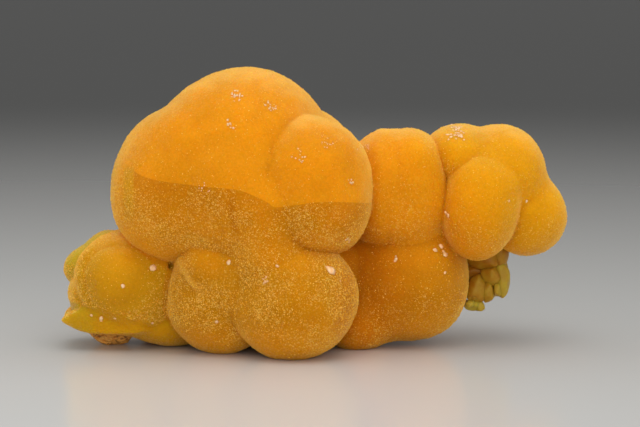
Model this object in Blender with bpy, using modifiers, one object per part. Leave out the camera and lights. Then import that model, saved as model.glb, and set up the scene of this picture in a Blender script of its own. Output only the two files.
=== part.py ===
"""Mimetite specimen: one mass of grown-together globules, an olive crystal cluster and a crumb of brown matrix.

The front view looks along +Y, with +X to its right and +Z up. The specimen rests on z = 0, and the middle of
its box is on the z axis. Lengths in the tables are millimetres, and the model is in metres.
"""

import math

import bmesh
import bpy
import numpy as np
from mathutils import Matrix, Vector

MM = 0.001

# Driving dimensions, in millimetres.
CROWN_RADIUS = 8.2
CHEEK_RADIUS = 6.6
FOOT_RADIUS = 5.4
CALF_RADIUS = 5.8
ARM_LEVEL = 14.3
FOOT_LEVEL = 4.8
CLUSTER_LEVEL = 5.4
CLEARANCE = 0.4
WAVE_HEIGHT = 0.12
GRAIN = 0.34
KEPT_FACES = 0.082
SURFACE_ROOM = (80.0, 60.0, 12.0)

# Globules: centre x, y, z, then half sizes along x, y, z.
HEAD = {
    "crown": (-6.5, -0.6, ARM_LEVEL + 2.8, CROWN_RADIUS, CROWN_RADIUS, CROWN_RADIUS),
    "brow": (-6.7, -1.4, ARM_LEVEL + 0.1, 8.4, 8.4, 8.0),
    "cheek_upper": (-11.6, -1.6, ARM_LEVEL + 1.8, 5.8, 6.0, 5.7),
    "cheek_lower": (-11.4, -2.4, ARM_LEVEL + 0.1, 6.8, 6.4, CHEEK_RADIUS),
    "temple": (-0.2, -5.2, ARM_LEVEL + 2.3, 4.7, 5.2, 4.6),
    "cheek_right": (0.4, -5.4, ARM_LEVEL - 0.9, 4.5, 5.1, 4.6),
    "cheek_middle": (0.2, -5.2, ARM_LEVEL + 0.7, 4.6, 5.1, 5.4),
    "chin": (-4.1, -6.5, ARM_LEVEL - 2.2, 3.1, 3.4, 3.4),
}
FEET = {
    "foot_left": (-8.2, -2.6, FOOT_LEVEL, 5.0, 4.5, 4.9),
    "foot_right": (-1.7, -6.0, FOOT_LEVEL + 0.3, 5.5, 5.1, FOOT_RADIUS),
    "knuckle": (-7.9, -3.7, FOOT_LEVEL + 3.3, 4.0, 4.4, 4.0),
    "middle": (-4.0, 0.0, FOOT_LEVEL + 2.2, 10.0, 5.0, 4.5),
    "sole": (-5.2, 0.8, FOOT_LEVEL - 2.0, 9.0, 5.4, 2.6),
}
SIDE = {
    "side_lobe": (-17.6, -1.8, FOOT_LEVEL + 1.8, 3.9, 3.8, 3.7),
    "side_body": (-16.0, -0.8, FOOT_LEVEL + 0.8, 3.9, 4.2, 3.9),
    "side_skirt": (-19.1, -0.4, FOOT_LEVEL, 3.0, 3.3, 3.0),
    "side_neck": (-14.6, 0.0, FOOT_LEVEL + 0.8, 3.9, 4.2, 4.7),
    "side_middle": (-13.1, 1.0, FOOT_LEVEL + 2.8, 5.0, 4.5, 4.0),
    "green_bump": (-20.6, 1.4, FOOT_LEVEL + 2.4, 2.0, 2.4, 1.9),
    "green_top": (-18.8, 1.6, FOOT_LEVEL + 3.6, 2.2, 2.6, 1.9),
    "lip": (-18.9, 0.6, FOOT_LEVEL - 2.5, 3.9, 3.5, 1.2),
    "lip_root": (-16.2, 0.5, FOOT_LEVEL - 2.1, 3.4, 3.5, 1.8),
    "heel_left": (-13.3, 0.4, FOOT_LEVEL - 2.4, 3.8, 3.6, 2.4),
}
ARM = {
    "arm_root": (3.4, 1.0, ARM_LEVEL - 0.4, 3.4, 4.2, 4.1),
    "arm_first": (6.3, -0.6, ARM_LEVEL, 3.1, 4.5, 5.4),
    "arm_second": (8.9, -0.6, ARM_LEVEL - 0.2, 2.9, 4.4, 5.5),
    "arm_front": (14.8, -1.4, ARM_LEVEL - 1.5, 3.4, 4.1, 4.7),
    "arm_top": (13.1, 0.4, ARM_LEVEL + 2.8, 3.2, 4.0, 3.1),
    "arm_shoulder": (16.5, 1.1, ARM_LEVEL + 1.6, 4.4, 4.6, 4.1),
    "arm_tip": (19.2, 1.9, ARM_LEVEL - 2.3, 3.6, 4.0, 4.0),
    "arm_middle": (9.6, 2.0, ARM_LEVEL - 2.1, 6.0, 4.0, 3.6),
}
LEG = {
    "calf": (8.3, 1.2, FOOT_LEVEL + 1.4, CALF_RADIUS, 5.5, CALF_RADIUS),
    "calf_toe": (3.9, -0.4, FOOT_LEVEL - 2.3, 2.9, 2.8, 2.7),
    "calf_left": (4.3, 1.6, FOOT_LEVEL + 0.6, 4.8, 4.6, 5.2),
}
BACK = {
    "back_crown": (-8.3, 5.0, ARM_LEVEL + 3.9, 5.8, 5.6, 5.8),
    "back_left": (-13.1, 4.6, ARM_LEVEL, 5.2, 5.2, 5.6),
    "back_middle": (-7.6, 6.4, ARM_LEVEL - 1.3, 5.4, 5.2, 5.4),
    "back_right": (-1.7, 4.6, ARM_LEVEL + 1.1, 5.6, 5.2, 6.2),
    "nape": (-11.5, 5.8, FOOT_LEVEL + 4.4, 4.6, 4.4, 4.2),
    "rear_foot_left": (-13.3, 4.6, FOOT_LEVEL - 0.1, 4.6, 4.6, 4.8),
    "rear_foot_middle": (-6.2, 5.8, FOOT_LEVEL - 0.5, 5.4, 5.2, 4.6),
    "rear_knuckle": (-2.5, 6.8, FOOT_LEVEL + 3.2, 4.0, 3.6, 3.8),
    "rear_foot_right": (0.7, 4.8, FOOT_LEVEL - 1.1, 4.2, 4.4, 4.0),
    "rear_calf": (7.1, 5.0, FOOT_LEVEL + 0.8, 4.8, 4.4, 4.7),
    "rear_calf_low": (9.9, 3.0, FOOT_LEVEL + 0.5, 3.6, 4.0, 3.8),
    "arm_back_first": (5.6, 5.2, ARM_LEVEL - 0.6, 4.3, 4.4, 4.7),
    "arm_back_second": (11.0, 5.8, ARM_LEVEL - 0.8, 4.6, 4.0, 4.4),
    "arm_back_third": (16.5, 6.0, ARM_LEVEL - 1.6, 3.9, 3.7, 4.0),
}
GLOBULES = {**HEAD, **FEET, **SIDE, **ARM, **LEG, **BACK}

# Crystals of the cluster: centre x, y, z, radius, length, tilt from upright and turn about z in degrees.
CRYSTALS = (
    (15.7, 3.6, CLUSTER_LEVEL + 3.6, 1.50, 3.4, 12, 0),
    (15.1, 2.7, CLUSTER_LEVEL + 1.9, 1.15, 2.6, 64, 10),
    (16.6, 2.9, CLUSTER_LEVEL + 1.7, 1.05, 2.3, 38, 250),
    (17.0, 2.5, CLUSTER_LEVEL + 0.4, 0.80, 2.1, 14, 60),
    (16.4, 1.9, CLUSTER_LEVEL - 0.6, 0.68, 1.7, 24, 300),
    (15.6, 2.0, CLUSTER_LEVEL + 0.4, 0.82, 2.0, 40, 200),
    (14.8, 2.4, CLUSTER_LEVEL - 0.2, 0.72, 2.0, 18, 130),
    (15.5, 2.2, CLUSTER_LEVEL - 1.2, 0.58, 1.4, 30, 20),
    (14.6, 2.8, CLUSTER_LEVEL - 1.7, 0.62, 1.3, 52, 160),
    (14.6, 3.8, CLUSTER_LEVEL + 0.5, 0.90, 2.4, 20, 100),
    (15.8, 4.1, CLUSTER_LEVEL - 0.1, 1.00, 2.6, 28, 80),
    (16.8, 3.9, CLUSTER_LEVEL + 1.0, 0.90, 2.4, 34, 20),
)
CLUSTER_NEIGHBOURS = ("arm_front", "arm_middle", "arm_shoulder", "arm_tip", "arm_back_second", "arm_back_third",
                      "calf", "rear_calf_low")

# Crumbs of the matrix: centre x, y, z, then half sizes and a turn about z in degrees.
CRUMBS = (
    (-18.6, 2.0, 0.5, 1.7, 1.9, 1.0, 10),
    (-19.7, 1.4, 0.5, 0.9, 1.1, 0.7, 40),
    (-17.5, 1.3, 0.5, 1.0, 1.2, 0.8, 75),
    (-18.5, 0.5, 0.4, 0.9, 0.8, 0.6, 20),
    (-17.3, 2.9, 0.8, 1.2, 1.1, 1.2, 50),
    (-19.3, 3.0, 0.7, 1.1, 1.0, 1.1, 5),
)
MATRIX_NEIGHBOURS = ("lip", "lip_root", "side_skirt", "side_neck", "heel_left", "rear_foot_left")

# Colour, then roughness, of each piece.
LOOKS = {
    "mimetite_mass": ((0.62, 0.25, 0.015), 0.45),
    "olive_cluster": ((0.21, 0.13, 0.02), 0.4),
    "brown_matrix": ((0.14, 0.07, 0.025), 0.85),
}


def collection(name):
    """A new collection in the scene."""
    made = bpy.data.collections.new(name)
    bpy.context.scene.collection.children.link(made)
    return made


def add_object(name, mesh, holder, looks=None):
    """An object of this bmesh, in its collection, with its own material when it is a piece."""
    data = bpy.data.meshes.new(name)
    mesh.to_mesh(data)
    mesh.free()
    made = bpy.data.objects.new(name, data)
    holder.objects.link(made)
    if looks:
        colour, roughness = looks
        material = bpy.data.materials.new(name)
        material.use_nodes = True
        shader = material.node_tree.nodes["Principled BSDF"]
        shader.inputs["Base Color"].default_value = (*colour, 1.0)
        shader.inputs["Roughness"].default_value = roughness
        data.materials.append(material)
    else:
        made.hide_render = True
        made.display_type = "WIRE"
    return made


def uneven(mesh):
    """Shift every point by slow waves along the other two axes, the unevenness of natural growth."""
    points = np.array([vertex.co for vertex in mesh.verts]) / MM
    x, y, z = points.T
    waves = np.stack([
        np.sin(0.52 * y + 0.61 * z + 0.5),
        np.sin(0.47 * z + 0.58 * x + 2.1),
        np.sin(0.55 * x + 0.44 * y + 4.0),
    ], axis=1)
    for vertex, shift in zip(mesh.verts, waves * WAVE_HEIGHT * MM):
        vertex.co += Vector(shift)


def globule_mesh(globules, extra=0.0, subdivisions=5):
    """One ellipsoid for each globule, grown by extra millimetres."""
    mesh = bmesh.new()
    for x, y, z, *half in globules:
        place = Matrix.Translation(Vector((x, y, z)) * MM)
        stretch = Matrix.Diagonal((*[(size + extra) * MM for size in half], 1.0))
        bmesh.ops.create_icosphere(mesh, subdivisions=subdivisions, radius=1.0, matrix=place @ stretch)
    uneven(mesh)
    return mesh


def box_mesh(sizes, centre):
    """A box, sizes and centre in millimetres."""
    mesh = bmesh.new()
    place = Matrix.Translation(Vector(centre) * MM)
    bmesh.ops.create_cube(mesh, size=1.0, matrix=place @ Matrix.Diagonal((*[s * MM for s in sizes], 1.0)))
    return mesh


def crystal_mesh(crystal):
    """A six-sided barrel crystal: a prism with a sloping face over each side at both ends."""
    x, y, z, radius, length, tilt, turn = crystal
    mesh = bmesh.new()
    turned = Matrix.Rotation(math.radians(turn), 4, "Z") @ Matrix.Rotation(math.radians(tilt), 4, "Y")
    place = Matrix.Translation(Vector((x, y, z)) * MM) @ turned
    bmesh.ops.create_cone(mesh, cap_ends=True, segments=6, radius1=radius * MM, radius2=radius * MM,
                          depth=length * MM, matrix=place)
    ends = [edge for edge in mesh.edges if any(len(face.verts) == 6 for face in edge.link_faces)]
    bmesh.ops.bevel(mesh, geom=ends, offset=0.32 * radius * MM, segments=1, affect="EDGES")
    return mesh


def crumb_mesh(crumb):
    """A blunt broken lump with flat sides."""
    x, y, z, *half, turn = crumb
    mesh = bmesh.new()
    place = Matrix.Translation(Vector((x, y, z)) * MM) @ Matrix.Rotation(math.radians(turn), 4, "Z")
    stretch = Matrix.Diagonal((*[size * MM for size in half], 1.0))
    bmesh.ops.create_icosphere(mesh, subdivisions=1, radius=1.0, matrix=place @ stretch)
    return mesh


def boolean(target, other, operation):
    """Add an exact Boolean modifier."""
    modifier = target.modifiers.new(other.name, "BOOLEAN")
    modifier.operation = operation
    modifier.solver = "EXACT"
    modifier.object = other


def clear_of(target, names, cutters):
    """Cut a piece back to a small gap from the globules that it touches."""
    for name in names:
        mesh = globule_mesh([GLOBULES[name]], extra=CLEARANCE, subdivisions=3)
        boolean(target, add_object(f"{target.name}_from_{name}", mesh, cutters), "DIFFERENCE")


def make_mass(pieces, cutters, below):
    """The globules, grown into one body and ground level where they meet the surface."""
    mass = add_object("mimetite_mass", globule_mesh(GLOBULES.values()), pieces, LOOKS["mimetite_mass"])
    mass.data.shade_smooth()
    grown = mass.modifiers.new("grown_together", "REMESH")
    grown.mode = "VOXEL"
    grown.voxel_size = GRAIN * MM
    grown.use_smooth_shade = True
    fewer = mass.modifiers.new("fewer_faces", "DECIMATE")
    fewer.ratio = KEPT_FACES
    boolean(mass, below, "DIFFERENCE")
    return mass


def make_cluster(pieces, cutters):
    """The olive crystals under the arm, joined in one body."""
    first, *others = CRYSTALS
    cluster = add_object("olive_cluster", crystal_mesh(first), pieces, LOOKS["olive_cluster"])
    for number, crystal in enumerate(others, start=2):
        boolean(cluster, add_object(f"crystal_{number}", crystal_mesh(crystal), cutters), "UNION")
    clear_of(cluster, CLUSTER_NEIGHBOURS, cutters)
    return cluster


def make_matrix(pieces, cutters, below):
    """The crumb of brown matrix under the lip, level where it meets the surface."""
    first, *others = CRUMBS
    matrix = add_object("brown_matrix", crumb_mesh(first), pieces, LOOKS["brown_matrix"])
    for number, crumb in enumerate(others, start=2):
        boolean(matrix, add_object(f"crumb_{number}", crumb_mesh(crumb), cutters), "UNION")
    clear_of(matrix, MATRIX_NEIGHBOURS, cutters)
    boolean(matrix, below, "DIFFERENCE")
    return matrix


def centre_on_origin(pieces, cutters):
    """Move everything so that the middle of the pieces' box is on the z axis."""
    bpy.context.view_layer.update()
    graph = bpy.context.evaluated_depsgraph_get()
    corners = [corner for piece in pieces.objects for corner in piece.evaluated_get(graph).bound_box]
    low, high = np.min(corners, axis=0), np.max(corners, axis=0)
    middle = Vector((low + high) / 2)
    for piece in (*pieces.objects, *cutters.objects):
        piece.data.transform(Matrix.Translation((-middle.x, -middle.y, 0.0)))


def main():
    for old in list(bpy.data.objects):
        bpy.data.objects.remove(old)
    pieces = collection("mimetite_specimen")
    cutters = collection("cutters")
    room = SURFACE_ROOM
    below = add_object("below_the_surface", box_mesh(room, (0.0, 0.0, -room[2] / 2)), cutters)
    make_mass(pieces, cutters, below)
    make_cluster(pieces, cutters)
    make_matrix(pieces, cutters, below)
    centre_on_origin(pieces, cutters)


main()
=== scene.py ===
"""Mimetite specimen: the looks of its grown globules, druse, pale grains, olive crystals and brown matrix."""
import math

import bpy
import numpy as np
from bpy.props import FloatProperty, FloatVectorProperty, IntProperty, PointerProperty
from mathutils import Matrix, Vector


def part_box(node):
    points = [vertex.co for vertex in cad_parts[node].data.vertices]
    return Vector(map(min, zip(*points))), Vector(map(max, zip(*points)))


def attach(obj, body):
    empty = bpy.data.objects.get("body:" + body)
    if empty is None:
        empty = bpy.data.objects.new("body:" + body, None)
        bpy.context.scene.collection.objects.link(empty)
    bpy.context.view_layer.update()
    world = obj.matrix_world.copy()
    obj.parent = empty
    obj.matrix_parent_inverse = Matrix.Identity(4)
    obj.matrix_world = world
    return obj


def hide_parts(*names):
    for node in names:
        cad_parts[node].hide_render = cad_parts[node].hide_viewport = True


bl_info = {
    "name": "Mimetite specimen",
    "version": (1, 0, 0),
    "blender": (4, 5, 0),
    "location": "View3D > Sidebar > Mimetite",
    "description": "Grows a mimetite specimen with its druse, olive crystals and matrix",
    "category": "Add Mesh",
}

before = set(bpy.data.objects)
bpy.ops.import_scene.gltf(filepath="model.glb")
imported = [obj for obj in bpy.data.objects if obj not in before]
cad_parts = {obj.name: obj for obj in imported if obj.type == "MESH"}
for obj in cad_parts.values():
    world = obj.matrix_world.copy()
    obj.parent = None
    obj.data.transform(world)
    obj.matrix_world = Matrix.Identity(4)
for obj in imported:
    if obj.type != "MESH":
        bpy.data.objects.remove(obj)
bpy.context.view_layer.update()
MM = 0.001

# Levels of the growth, in millimetres, then the globules: centre x, y, z and half sizes along x, y, z.
ARM_LEVEL = 14.3
FOOT_LEVEL = 4.8
CLUSTER_LEVEL = 5.4
HEAD = {
    "crown": (-6.45, -0.6, ARM_LEVEL + 2.7, 8.25, 8.2, 8.2),
    "forehead": (-10.2, -2.5, ARM_LEVEL + 3.1, 5.2, 5.6, 5.2),
    "brow": (-6.7, -1.4, ARM_LEVEL + 0.1, 8.4, 8.4, 8.0),
    "cheek_upper": (-11.6, -1.6, ARM_LEVEL + 1.8, 5.8, 6.0, 5.7),
    "cheek_lower": (-11.4, -2.4, ARM_LEVEL + 0.1, 6.8, 6.4, 6.6),
    "temple": (-0.3, -5.2, ARM_LEVEL + 2.15, 5.0, 5.2, 4.65),
    "cheek_right": (0.4, -5.4, ARM_LEVEL - 0.9, 4.5, 5.1, 4.6),
    "cheek_middle": (0.0, -5.2, ARM_LEVEL + 0.7, 4.8, 5.1, 5.4),
    "chin": (-4.1, -6.5, ARM_LEVEL - 2.2, 3.1, 3.4, 3.4),
    "bridge": (-3.2, -4.6, ARM_LEVEL - 0.5, 4.4, 5.2, 4.8),
    "jaw": (-4.0, -6.4, FOOT_LEVEL + 4.5, 3.5, 3.5, 3.6),
}
FEET = {
    "foot_left": (-8.3, -2.9, FOOT_LEVEL + 0.1, 5.1, 4.7, 5.0),
    "foot_right": (-1.7, -6.0, FOOT_LEVEL + 0.3, 5.5, 5.1, 5.4),
    "knuckle": (-8.7, -3.7, FOOT_LEVEL + 3.4, 3.6, 4.3, 4.1),
    "instep": (-6.9, -4.4, FOOT_LEVEL + 2.0, 3.7, 4.1, 4.4),
    "middle": (-4.0, 0.0, FOOT_LEVEL + 2.2, 10.0, 5.0, 4.5),
    "sole": (-5.2, 0.8, FOOT_LEVEL - 2.0, 9.0, 5.4, 2.6),
}
SIDE = {
    "side_lobe": (-17.6, -1.5, FOOT_LEVEL + 1.8, 3.9, 3.8, 3.7),
    "side_dome": (-17.4, -2.9, FOOT_LEVEL + 1.9, 3.1, 2.9, 3.1),
    "side_body": (-16.0, -0.8, FOOT_LEVEL + 0.8, 3.9, 4.2, 3.9),
    "side_skirt": (-19.1, -0.4, FOOT_LEVEL, 3.0, 3.3, 3.0),
    "side_neck": (-14.6, 0.0, FOOT_LEVEL + 0.8, 3.9, 4.2, 4.7),
    "side_middle": (-13.1, 1.0, FOOT_LEVEL + 2.8, 5.0, 4.5, 4.0),
    "green_bump": (-20.6, 1.4, FOOT_LEVEL + 2.4, 2.0, 2.4, 1.9),
    "green_top": (-18.8, 1.6, FOOT_LEVEL + 3.6, 2.2, 2.6, 1.9),
    "lip": (-18.9, 0.2, FOOT_LEVEL - 2.4, 5.6, 5.2, 2.6),
    "lip_root": (-16.2, 0.5, FOOT_LEVEL - 2.1, 3.4, 3.5, 1.8),
    "heel_left": (-13.3, 0.4, FOOT_LEVEL - 2.4, 3.8, 3.6, 2.4),
}
ARM = {
    "arm_root": (3.4, 1.0, ARM_LEVEL - 0.4, 3.4, 4.2, 4.1),
    "arm_first": (6.3, -0.6, ARM_LEVEL, 3.5, 4.5, 5.35),
    "arm_second": (8.4, -0.6, ARM_LEVEL - 0.3, 3.6, 4.4, 5.4),
    "arm_cap": (8.9, -0.9, ARM_LEVEL + 2.4, 2.6, 3.8, 2.9),
    "arm_fill": (15.2, -0.9, ARM_LEVEL + 0.55, 3.5, 4.2, 3.1),
    "arm_front": (14.75, -1.3, ARM_LEVEL - 1.5, 3.5, 4.1, 4.65),
    "arm_top": (12.9, 0.7, ARM_LEVEL + 2.8, 3.3, 4.0, 3.1),
    "arm_shoulder": (16.5, 0.9, ARM_LEVEL + 1.45, 4.4, 4.7, 4.15),
    "arm_tip": (19.05, 1.6, ARM_LEVEL - 2.35, 3.7, 4.0, 3.9),
    "arm_middle": (9.6, 2.0, ARM_LEVEL - 2.1, 6.0, 4.0, 3.6),
}
LEG = {
    "calf": (8.3, 1.2, FOOT_LEVEL + 1.4, 5.75, 5.5, 5.8),
    "calf_toe": (3.9, -0.4, FOOT_LEVEL - 2.3, 2.9, 2.8, 2.7),
    "calf_left": (4.3, 1.6, FOOT_LEVEL + 0.6, 4.8, 4.6, 5.2),
}
BACK = {
    "back_crown": (-8.3, 5.0, ARM_LEVEL + 3.9, 5.8, 5.6, 5.8),
    "back_left": (-13.1, 4.6, ARM_LEVEL, 5.2, 5.2, 5.6),
    "back_middle": (-7.6, 6.4, ARM_LEVEL - 1.3, 5.4, 5.2, 5.4),
    "back_right": (-1.7, 4.6, ARM_LEVEL + 1.1, 5.6, 5.2, 6.2),
    "nape": (-11.5, 5.8, FOOT_LEVEL + 4.4, 4.6, 4.4, 4.2),
    "rear_foot_left": (-13.3, 4.6, FOOT_LEVEL - 0.1, 4.6, 4.6, 4.8),
    "rear_foot_middle": (-6.2, 5.8, FOOT_LEVEL - 0.5, 5.4, 5.2, 4.6),
    "rear_knuckle": (-2.5, 6.8, FOOT_LEVEL + 3.2, 4.0, 3.6, 3.8),
    "rear_foot_right": (0.7, 4.8, FOOT_LEVEL - 1.1, 4.2, 4.4, 4.0),
    "rear_calf": (7.1, 5.0, FOOT_LEVEL + 0.8, 4.8, 4.4, 4.7),
    "rear_calf_low": (9.9, 3.0, FOOT_LEVEL + 0.5, 3.6, 4.0, 3.8),
    "arm_back_first": (5.6, 5.2, ARM_LEVEL - 0.6, 4.3, 4.4, 4.7),
    "arm_back_second": (11.0, 5.8, ARM_LEVEL - 0.8, 4.6, 4.0, 4.4),
    "arm_back_third": (16.5, 6.0, ARM_LEVEL - 1.6, 3.9, 3.7, 4.0),
}
GLOBULES = {**HEAD, **FEET, **SIDE, **ARM, **LEG, **BACK}
NAMES = list(GLOBULES)
CENTRES = np.array([entry[:3] for entry in GLOBULES.values()])
HALVES = np.array([entry[3:] for entry in GLOBULES.values()])

# Globules that run into each other with a soft valley, and how soft, in millimetres.
SOFT_GROUPS = (
    (("crown", "forehead", "brow", "cheek_upper", "cheek_lower"), 0.16),
    (("temple", "cheek_middle", "cheek_right"), 0.30),
    (("temple", "cheek_middle", "crown", "brow"), 0.18),
    (("brow", "bridge", "chin", "jaw"), 0.45),
    (("bridge", "cheek_middle", "cheek_right", "chin"), 0.35),
    (("chin", "jaw", "instep", "foot_right"), 0.50),
    (("instep", "foot_left", "knuckle"), 0.15),
    (("side_lobe", "side_body", "side_neck", "side_middle"), 0.55),
    (("side_lobe", "side_skirt"), 0.15),
    (("arm_root", "arm_first", "arm_second", "arm_cap", "arm_middle"), 0.35),
    (("arm_second", "arm_middle", "calf", "calf_left"), 0.40),
    (("calf", "calf_left", "calf_toe"), 0.60),
    (("arm_front", "arm_fill"), 0.45),
    (("arm_fill", "arm_top", "arm_shoulder"), 0.16),
    (("arm_top", "arm_shoulder"), 0.30),
    (("arm_second", "arm_fill", "arm_front"), 0.30),
    (("arm_shoulder", "arm_tip"), 0.45),
    (("lip", "lip_root", "heel_left"), 0.30),
    (("lip", "side_skirt"), 0.20),
    (("green_bump", "green_top"), 0.20),
)
CRISP = 0.06

# Flat breaks that bound the lip: a point on each and the direction that it faces.
BREAKS = (
    ((-22.9, 0.0, 2.62), (-0.40, 0.0, -0.92)),
    ((-22.9, 0.0, 2.72), (-0.55, 0.0, 0.84)),
    ((-20.0, 0.0, 1.70), (0.0, 0.0, -1.0)),
    ((-19.0, -3.2, 2.0), (-0.17, -0.95, -0.25)),
)
WAXY = ("lip", "lip_root", "heel_left")
WAVE_HEIGHT = 0.12
GROWTH_MIDDLE = (0.088, 0.192, 0.0)
KNUCKLE_ARC = (-5.95, 10.6, 6.2)
PIT = (-12.75, 7.75)
CHIN_GROOVE_X = -7.0

# The edge of the overhead light on the head, below which its colour is darkened as painted shade: x, then z, in
# millimetres.
SHADE_EDGE_X = (-18.2, -16.4, -15.5, -14.8, -13.9, -11.6, -9.2, -6.7, -5.5, -4.0, -3.3, -1.6, 0.5, 3.0, 5.0)
SHADE_EDGE_Z = (17.2, 16.9, 16.4, 16.1, 15.9, 15.6, 15.4, 15.2, 14.8, 14.1, 13.7, 13.9, 14.2, 14.1, 13.7)

# The camera looks at this point, in millimetres of the growth, from this distance, tilted down.
LOOK_AT = (0.5, 0.0, 12.1)
CAMERA_AWAY = 240.0
CAMERA_DOWN = math.radians(6.0)
LENS, SENSOR = 150.0, 36.0
PHOTO_WIDE, PHOTO_HIGH = 640, 427

# Pale grains: column and row in the photo, spread and size in millimetres, and how many.
GRAINS = (
    (227, 263, 0.00, 0.36, 1), (331, 269, 0.00, 0.36, 1), (276, 265, 0.00, 0.14, 1), (265, 280, 0.25, 0.10, 7),
    (123, 288, 0.00, 0.17, 1), (154, 268, 0.00, 0.30, 1), (216, 324, 0.10, 0.16, 2), (342, 281, 0.00, 0.10, 1),
    (101, 320, 0.10, 0.16, 2), (117, 321, 0.10, 0.14, 2), (91, 317, 0.00, 0.13, 1), (152, 324, 0.05, 0.12, 2),
    (444, 251, 0.18, 0.24, 4), (447, 272, 0.00, 0.18, 1), (397, 256, 0.20, 0.16, 3), (444, 216, 0.10, 0.20, 2),
    (510, 202, 0.00, 0.14, 1), (528, 202, 0.00, 0.14, 1), (236, 94, 0.24, 0.10, 26), (272, 105, 0.24, 0.09, 16),
    (229, 123, 0.17, 0.09, 12), (297, 157, 0.36, 0.08, 12), (326, 143, 0.26, 0.06, 14), (352, 182, 0.12, 0.08, 8),
    (349, 241, 0.12, 0.10, 6), (456, 130, 0.42, 0.13, 36), (366, 145, 0.22, 0.09, 12), (203, 186, 0.30, 0.06, 12),
)

# Blocks of the cluster: centre x, y, z, half sizes along x, y, z, and hue, from brown to yellow-green.
BLOCKS = (
    (15.50, 3.0, 7.80, 1.95, 1.5, 1.30, 0.15), (16.95, 2.8, 7.90, 0.80, 1.2, 1.25, 0.20),
    (16.2, 2.5, 6.05, 1.20, 1.1, 1.00, 0.35), (17.1, 2.4, 5.90, 0.75, 0.9, 1.70, 0.75),
    (16.7, 2.2, 4.95, 0.50, 0.7, 0.80, 0.80), (14.9, 2.4, 4.95, 1.05, 1.0, 1.45, 0.30),
    (15.8, 2.2, 4.70, 0.55, 0.7, 1.05, 0.45), (14.5, 2.4, 3.50, 0.90, 0.8, 0.60, 1.00),
    (15.1, 2.1, 3.40, 0.45, 0.5, 0.50, 0.95), (14.7, 3.3, 6.45, 1.00, 0.8, 1.00, 0.00),
    (14.7, 3.8, 5.60, 1.10, 1.0, 2.00, 0.30), (15.8, 4.1, 5.50, 1.20, 1.0, 2.10, 0.50),
    (16.8, 3.9, 6.40, 1.00, 1.0, 1.80, 0.60), (15.6, 3.8, 9.10, 1.60, 1.2, 1.50, 0.20),
)


class MimetiteSizes(bpy.types.PropertyGroup):
    """Sizes of the fine growth."""

    surface_step: FloatProperty(name="Surface step", description="Spacing of the points of the mass",
                                default=0.000225, unit="LENGTH", precision=5)
    druse_height: FloatProperty(name="Druse height", description="How far the skin's crystals rise",
                                default=0.00007, unit="LENGTH", precision=5)
    lump_height: FloatProperty(name="Lump height", description="Height of the low swells",
                               default=0.00003, unit="LENGTH", precision=5)
    crystal_radius: FloatProperty(name="Crystal radius", description="Middle radius of a loose druse crystal",
                                  default=0.000048, unit="LENGTH", precision=6)
    crystal_count: IntProperty(name="Crystals", description="Loose druse crystals in each layer", default=48000)
    floor_radius: FloatProperty(name="Floor radius", description="Radius of the floor", default=3.0, unit="LENGTH")


class MimetiteColours(bpy.types.PropertyGroup):
    """Colours of the minerals and the floor, and of the painted shade, sheen and glints on them."""

    amber: FloatVectorProperty(name="Amber", description="The head's colour", subtype="COLOR",
                               default=(0.765, 0.286, 0.004))
    honey: FloatVectorProperty(name="Honey", description="The arm's colour", subtype="COLOR",
                               default=(0.765, 0.338, 0.003))
    # Painted shade colour of the low globules under the head.
    low_shade_ochre: FloatVectorProperty(name="Ochre", description="The low globules' colour", subtype="COLOR",
                               default=(0.54, 0.21, 0.003))
    # Painted shade colour: the deep orange laid in the valleys and under the arm.
    shade_orange: FloatVectorProperty(name="Ember", description="Colour deep in the valleys", subtype="COLOR",
                               default=(0.50, 0.12, 0.002))
    moss: FloatVectorProperty(name="Moss", description="Tint of the green bump", subtype="COLOR",
                              default=(0.44, 0.34, 0.014))
    # Painted glint colour, on the mass's specks and on some loose crystals.
    frost: FloatVectorProperty(name="Frost", description="Colour of the druse's glints", subtype="COLOR",
                               default=(1.0, 0.68, 0.15))
    # Painted sheen colour: the pale rim on the globules' flanks and tops.
    sheen_peach: FloatVectorProperty(name="Peach", description="Colour of the thick druse on the flanks", subtype="COLOR",
                               default=(0.92, 0.48, 0.08))
    pale: FloatVectorProperty(name="Pale", description="Colour of the pale grains", subtype="COLOR",
                              default=(0.92, 0.50, 0.20))
    olive: FloatVectorProperty(name="Olive", description="Colour of the cluster", subtype="COLOR",
                               default=(0.47, 0.345, 0.030))
    umber: FloatVectorProperty(name="Umber", description="Colour of the cluster's root", subtype="COLOR",
                               default=(0.36, 0.135, 0.004))
    matrix: FloatVectorProperty(name="Matrix", description="Colour of the matrix", subtype="COLOR",
                                default=(0.72, 0.29, 0.03))
    floor_near: FloatVectorProperty(name="Floor near", description="Floor at the specimen", subtype="COLOR",
                                    default=(0.66, 0.655, 0.63))
    floor_far: FloatVectorProperty(name="Floor far", description="Floor far behind", subtype="COLOR",
                                   default=(0.058, 0.058, 0.054))


def smooth_step(low, high, values):
    """0 below low, 1 above high, and t * t * (3 - 2 t) between, with t the share of the way."""
    t = np.clip((values - low) / (high - low), 0.0, 1.0)
    return t * t * (3.0 - 2.0 * t)


def unit(vectors):
    """Each row divided by its length."""
    return vectors / np.maximum(np.linalg.norm(vectors, axis=-1, keepdims=True), 1e-12)


def swells(points, size, seed, count=24):
    """Smooth random relief, about -1 to 1: the sum of sine waves of that length in seeded directions."""
    rng = np.random.default_rng(seed)
    directions = unit(rng.normal(size=(count, 3))) * (2.0 * math.pi / size)
    phases = rng.uniform(0.0, 2.0 * math.pi, count)
    return np.sin(points @ directions.T + phases).sum(axis=1) / math.sqrt(2.0 * count)


def uneven(points):
    """The points shifted by slow sine waves along the other two axes, the unevenness of natural growth."""
    x, y, z = points.T
    waves = np.stack([
        np.sin(0.52 * y + 0.61 * z + 0.5),
        np.sin(0.47 * z + 0.58 * x + 2.1),
        np.sin(0.55 * x + 0.44 * y + 4.0),
    ], axis=1)
    return points + waves * WAVE_HEIGHT


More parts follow.
